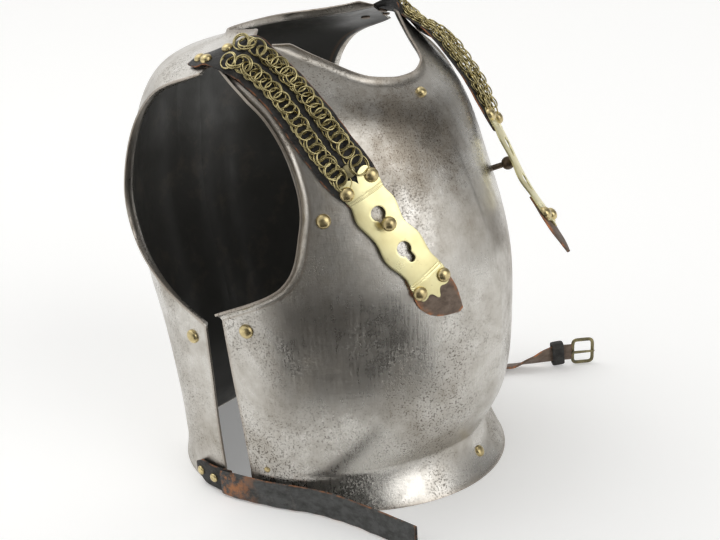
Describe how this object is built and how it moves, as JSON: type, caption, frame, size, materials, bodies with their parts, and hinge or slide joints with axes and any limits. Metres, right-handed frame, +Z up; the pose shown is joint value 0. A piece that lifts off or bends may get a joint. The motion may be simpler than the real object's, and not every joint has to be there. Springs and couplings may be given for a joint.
{
  "type": "cuirass",
  "caption": "Cavalry cuirass: steel breastplate and backplate joined over the shoulders by brass chain straps, with an open leather waist belt.",
  "frame": {"origin": "middle of the whole object's bounding box, on the floor it stands on", "axes": "+Z up, -Y out of the chest, +X to the wearer's left"},
  "size_m": [0.4445, 0.3693, 0.4145],
  "materials": {
    "plate_steel": "worn, brushed and pitted, with a grey-brown patina",
    "brass": "pale, softly polished",
    "chain_brass": "dull and olive with age",
    "stud_iron": "dark brown",
    "black_leather": "cracked, worn to orange-brown at the edges",
    "brown_leather": "worn, with orange-brown edges"
  },
  "bodies": {
    "root": {"breastplate": "plate_steel", "backplate": "plate_steel", "neck_rivet": "brass", "flange_rivet": "brass", "right_breast_arm_rivet": "brass", "right_breast_side_rivet": "brass", "right_breast_corner_rivet": "brass", "right_back_side_rivet": "brass", "left_breast_arm_rivet": "brass", "left_breast_side_rivet": "brass", "left_breast_corner_rivet": "brass", "left_back_side_rivet": "brass", "right_strap_leather": "black_leather", "right_strap_outer_chain": "chain_brass", "right_strap_inner_chain": "chain_brass", "right_strap_plate": "brass", "right_strap_tongue": "brown_leather", "right_strap_upper_outer_rivet": "brass", "right_strap_upper_inner_rivet": "brass", "right_strap_lower_outer_rivet": "brass", "right_strap_lower_inner_rivet": "brass", "right_strap_rear_outer_rivet": "brass", "right_strap_rear_middle_rivet": "brass", "right_strap_rear_inner_rivet": "brass", "left_strap_leather": "black_leather", "left_strap_outer_chain": "chain_brass", "left_strap_inner_chain": "chain_brass", "left_strap_plate": "brass", "left_strap_tongue": "brown_leather", "left_strap_upper_outer_rivet": "brass", "left_strap_upper_inner_rivet": "brass", "left_strap_lower_outer_rivet": "brass", "left_strap_lower_inner_rivet": "brass", "left_strap_rear_outer_rivet": "brass", "left_strap_rear_middle_rivet": "brass", "left_strap_rear_inner_rivet": "brass", "right_stud": "brass", "left_stud": "stud_iron", "right_belt_tab": "black_leather", "right_belt_strap": "black_leather", "left_belt_strap": "brown_leather", "right_belt_rear_rivet": "brass", "right_belt_front_rivet": "brass", "left_belt_rear_rivet": "brass", "left_belt_front_rivet": "brass", "buckle_frame": "brass", "buckle_prong": "brass", "belt_keeper": "black_leather"}
  },
  "joints": []
}
